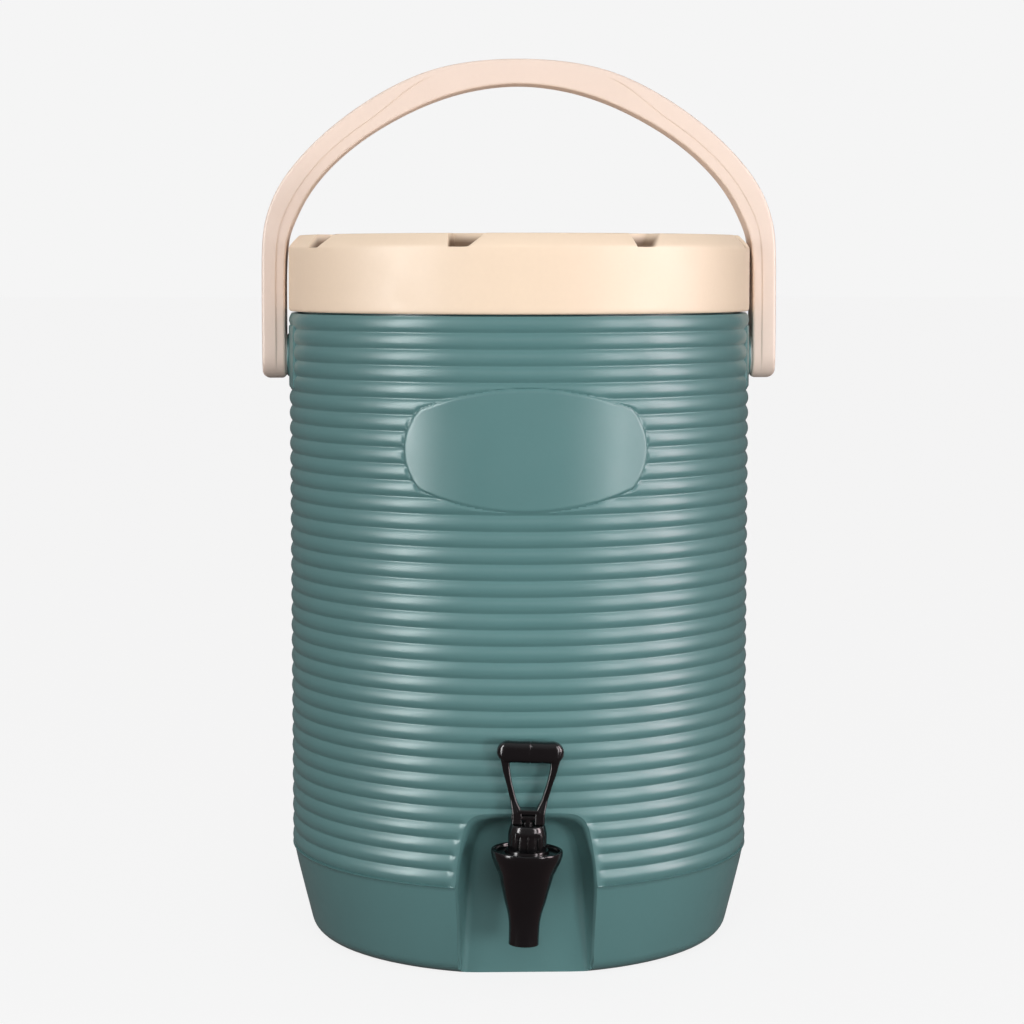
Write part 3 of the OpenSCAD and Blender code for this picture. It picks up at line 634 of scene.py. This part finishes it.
def tap_body():
    """Cone and spout in one turned skin, joined to the neck that goes through the wall."""
    cone = spline([(CUP_R, CUP_STEP), (21.6, 12.2), (19.5, 7.2), (17.2, 2), (15.9, -3), (14.5, -8.5),
                   (12.9, -15), (11, -21.5), (9.8, -28.5), (SPOUT_R, -36), (SPOUT_R, -41.2)], 5)
    rim = rounded([(13.4, CUP_TOP), (13.8, 16.1), (20.3, 16.1), (20.6, CUP_TOP), (CUP_R, CUP_TOP),
                   (CUP_R, CUP_STEP)], [0.3, 0.7, 0.7, 0.8, 1.0, 0], 4)
    inside = rounded([(SPOUT_R, -41.2), (SPOUT_R, SPOUT_END), (SPOUT_BORE_R, SPOUT_END), (SPOUT_BORE_R, -8),
                      (CHAMBER_R, -8), (CHAMBER_R, CUP_TOP)], [0, 0.6, 0.7, 0.4, 0.4, 0], 3)
    body = lathe("tap_body_moulding", np.concatenate([rim, cone[1:-1], inside]), 128)
    neck = rounded([(0, 10), (11.5, 10), (11.5, 27), (13, 30), (13, 33), (8, 33), (8, 59), (0, 59)],
                   [0, 0, 2, 1, 0.6, 0.4, 0.8, 0], 4)
    combine(body, lathe("neck", neck, 96, "y"), "UNION")
    combine(body, lathe("chamber", [(0, -8), (CHAMBER_R, -8), (CHAMBER_R, 30), (0, 30)], 96), "DIFFERENCE")
    combine(body, lathe("bore", [(0, 0), (5, 0), (5, 70), (0, 70)], 48, "y"), "DIFFERENCE")
    on_tap_axis(body)
    finish_piece(body, "barrel", "tap_black", MATS["tap_black"], "tap_body")


def tap_bonnet():
    """Fluted cap over the cone, with two posts and a fin in front under a lintel."""
    def flutes(angle, r, h):
        groove = 0.5 * (1 + np.cos(12 * angle)) ** 3 / 8
        return r - 0.9 * groove * ((r > 11.0) & (h > 19.5) & (h < 28.5))

    cap = rounded([(7, CUP_TOP), (BONNET_R, CUP_TOP), (BONNET_R, 28.6), (10.6, 34.6), (3.56, 34.6),
                   (3.56, 30.6), (7, 30.6)], [0.2, 0.3, 1.2, 1.6, 0.3, 0.2, 0.2], 5, closed=True)
    bonnet = lathe("tap_bonnet_moulding", cap, 144, wave=flutes)
    for x in (-7.3, 0, 7.3):
        depth = math.sqrt(BONNET_R ** 2 - x * x) - 1.4
        width = 0.9 if x else 0.6
        post = [((x, -depth - 0.8, z), width * f, 2.0 * f) for z, f in
                ((18.9, 0.6), (19.3, 0.95), (20, 1), (28, 1), (28.8, 0.95), (29.2, 0.6))]
        combine(bonnet, bar("post", post, 0.5), "UNION")
    lintel = [((0, -9.6, z), 8.2 * f, 2.6 * f) for z, f in
              ((28.2, 0.95), (28.5, 1), (30.4, 1), (30.9, 0.94))]
    combine(bonnet, bar("lintel", lintel, 0.8), "UNION")
    on_tap_axis(bonnet)
    finish_piece(bonnet, "barrel", "tap_black", MATS["tap_black"], "tap_bonnet")


def tap_lever():
    """Two struts that spread from a yoke round the pin to the round grip across the top."""
    strut = spline([(7.1, 35.4), (7.1, 39), (7.4, 43), (9.6, 49.5), (12.0, 58), (14.6, 68), (15.8, 76)], 6)
    half = np.interp(strut[:, 1], [35.2, 43, 50, 60, 72, 78], [3.2, 3.1, 2.0, 1.9, 2.5, 3.4])
    deep = np.interp(strut[:, 1], [35.2, 42, 50, 78], [5.8, 5.6, 3.5, 3.5])
    lever = None
    for side in (-1, 1):
        slices = [((side * x, 0, z), h, d) for (x, z), h, d in zip(strut, half, deep)]
        piece = bar("tap_lever_moulding" if lever is None else "strut", slices, 1.5)
        lever = piece if lever is None else combine(lever, piece, "UNION")
    yoke = [((0, 0, z), 7.6 * f, 5.6 * f) for z, f in
            ((41.2, 0.9), (41.7, 0.98), (42.3, 1), (43.6, 1), (44.2, 0.9))]
    combine(lever, bar("yoke", yoke, 1.4), "UNION")
    ends = [14 + 7 * math.sin(math.radians(t)) for t in (0, 15, 30, 45, 58, 70, 80, 86)]
    right = [(0, .965), (0.25, .968), (0.55, 1), (3, .985), (8, .96), (11.5, .975)]
    right += [(x, max(math.sqrt(1 - ((x - 14) / 7) ** 2), 0.08)) for x in ends]
    loops = []
    for x, f in [(-x, f) for x, f in right[:0:-1]] + right:
        flat = rounded([(-5.5 * f, -7 * f), (5.5 * f, -7 * f), (5.5 * f, 7 * f), (-5.5 * f, 7 * f)],
                       5.0 * f, 7, closed=True)
        loops.append(np.stack([np.full(len(flat), float(x)), flat[:, 0], flat[:, 1] + 80], -1))
    combine(lever, rings("grip", loops, 38), "UNION")
    hole = lathe("pin_hole", [(0, -12), (1.78, -12), (1.78, 12), (0, 12)], 32, "x", (0, 0, PIN_Z))
    combine(lever, hole, "DIFFERENCE")
    on_tap_axis(lever)
    finish_piece(lever, "lever", "tap_black", MATS["tap_black"], "tap_lever")


shell()
lid_cover()
handle()
tap_body()
tap_bonnet()
tap_lever()


# ---------- stage, light and camera ----------

def emitter(name, azimuth, distance, height, width, tall, power, colour=(1.0, 1.0, 1.0), tip=90):
    """Soft box at an azimuth from the front, facing the barrel; tip 90 is level, 0 straight down."""
    data = bpy.data.lights.new(name, "AREA")
    data.shape, data.size, data.size_y = "RECTANGLE", width, tall
    data.energy, data.color = power, colour
    obj = bpy.data.objects.new(name, data)
    a = math.radians(azimuth)
    obj.location = (math.sin(a) * distance, -math.cos(a) * distance, height)
    obj.rotation_euler = (math.radians(tip), 0, a)
    bpy.context.scene.collection.objects.link(obj)
    return obj


REACH = 40
corners = [(-REACH, -REACH, 0), (REACH, -REACH, 0), (REACH, REACH, 0), (-REACH, REACH, 0)]
floor_mesh = bpy.data.meshes.new("floor")
floor_mesh.from_pydata(corners, [], [(0, 1, 2, 3)])
floor = bpy.data.objects.new("floor", floor_mesh)
bpy.context.scene.collection.objects.link(floor)
floor.visible_glossy = False                # the bright floor throws no light back on the barrel
floor.visible_diffuse = False
pale = bpy.data.materials.new("pale_floor")
pale.use_nodes = True
pale_shader = pale.node_tree.nodes["Principled BSDF"]
pale_shader.inputs["Base Color"].default_value = (0.12, 0.12, 0.12, 1)
pale_shader.inputs["Roughness"].default_value = 1.0
pale_shader.inputs["Specular IOR Level"].default_value = 0.0
pale_shader.inputs["Emission Color"].default_value = (1, 1, 1, 1)
pale_shader.inputs["Emission Strength"].default_value = 0.855
floor_mesh.materials.append(pale)

# The strips are seen only in reflections, as the streaks on the ribs; the fills only light the surfaces.
gloss = [emitter("strip_left", -58, 1.7, 0.75, 0.36, 1.7, 34),
         emitter("strip_right_front", 46, 1.7, 0.75, 0.30, 1.7, 18, (1.0, 0.93, 0.95)),
         emitter("strip_right", 74, 1.7, 0.75, 0.5, 1.7, 34, (1.0, 0.85, 0.88))]
key = emitter("key", 0, 2.0, 0.9, 1.4, 1.2, 15.5, tip=74)
fill = [emitter("fill_left", -62, 1.8, 0.7, 0.8, 1.2, 16.5),
        emitter("fill_right", 58, 1.8, 0.7, 0.8, 1.2, 11, (1.0, 0.98, 0.98)),
        emitter("low_right", 30, 1.2, 0.12, 0.25, 0.3, 5),
        emitter("fill_back", 180, 2.2, 0.8, 1.6, 1.2, 26),
        emitter("fill_top", 0, 0.0, 2.3, 1.0, 1.0, 4, tip=0)]
for light in gloss:
    light.visible_diffuse = False
for light in [key, *fill]:
    light.visible_glossy = False
# Only the key reaches the floor, so that the barrel has one soft shadow.
unlit = bpy.data.collections.new("lit_by_key_only")
unlit.objects.link(floor)
unlit.collection_objects[0].light_linking.link_state = "EXCLUDE"
for light in gloss + fill:
    light.light_linking.receiver_collection = unlit

# The camera sees a plain pale world; the barrel reflects a dim, warm studio that brightens overhead.
world = bpy.data.worlds.new("studio")
bpy.context.scene.world = world
world.use_nodes = True
tree = world.node_tree
tree.nodes.clear()
add, link = tree.nodes.new, tree.links.new
out = add("ShaderNodeOutputWorld")
seen = add("ShaderNodeBackground")
seen.inputs["Color"].default_value = (0.913, 0.913, 0.913, 1)
studio = add("ShaderNodeBackground")
mix = add("ShaderNodeMixShader")
path = add("ShaderNodeLightPath")
where = add("ShaderNodeTexCoord")
split = add("ShaderNodeSeparateXYZ")
height = add("ShaderNodeMapRange")
height.inputs["From Min"].default_value = -1.0
ramp = add("ShaderNodeValToRGB")
ramp.color_ramp.elements[0].color = (0.13, 0.09, 0.09, 1)
ramp.color_ramp.elements[1].color = (0.55, 0.55, 0.56, 1)
middle = ramp.color_ramp.elements.new(0.52)
middle.color = (0.15, 0.105, 0.105, 1)
link(where.outputs["Generated"], split.inputs[0])
link(split.outputs["Z"], height.inputs["Value"])
link(height.outputs["Result"], ramp.inputs["Fac"])
link(ramp.outputs["Color"], studio.inputs["Color"])
link(path.outputs["Is Camera Ray"], mix.inputs["Fac"])
link(studio.outputs[0], mix.inputs[1])
link(seen.outputs[0], mix.inputs[2])
link(mix.outputs[0], out.inputs["Surface"])
bpy.context.scene.view_settings.view_transform = "Standard"

camera_data = bpy.data.cameras.new("camera")
camera_data.lens, camera_data.sensor_width = 90.34, 36
camera = bpy.data.objects.new("camera", camera_data)
camera.location = (-0.0564, -1.7420, 0.4496)
camera.rotation_euler = (math.radians(84.60), 0, math.radians(-1.7))
bpy.context.scene.collection.objects.link(camera)
bpy.context.scene.camera = camera
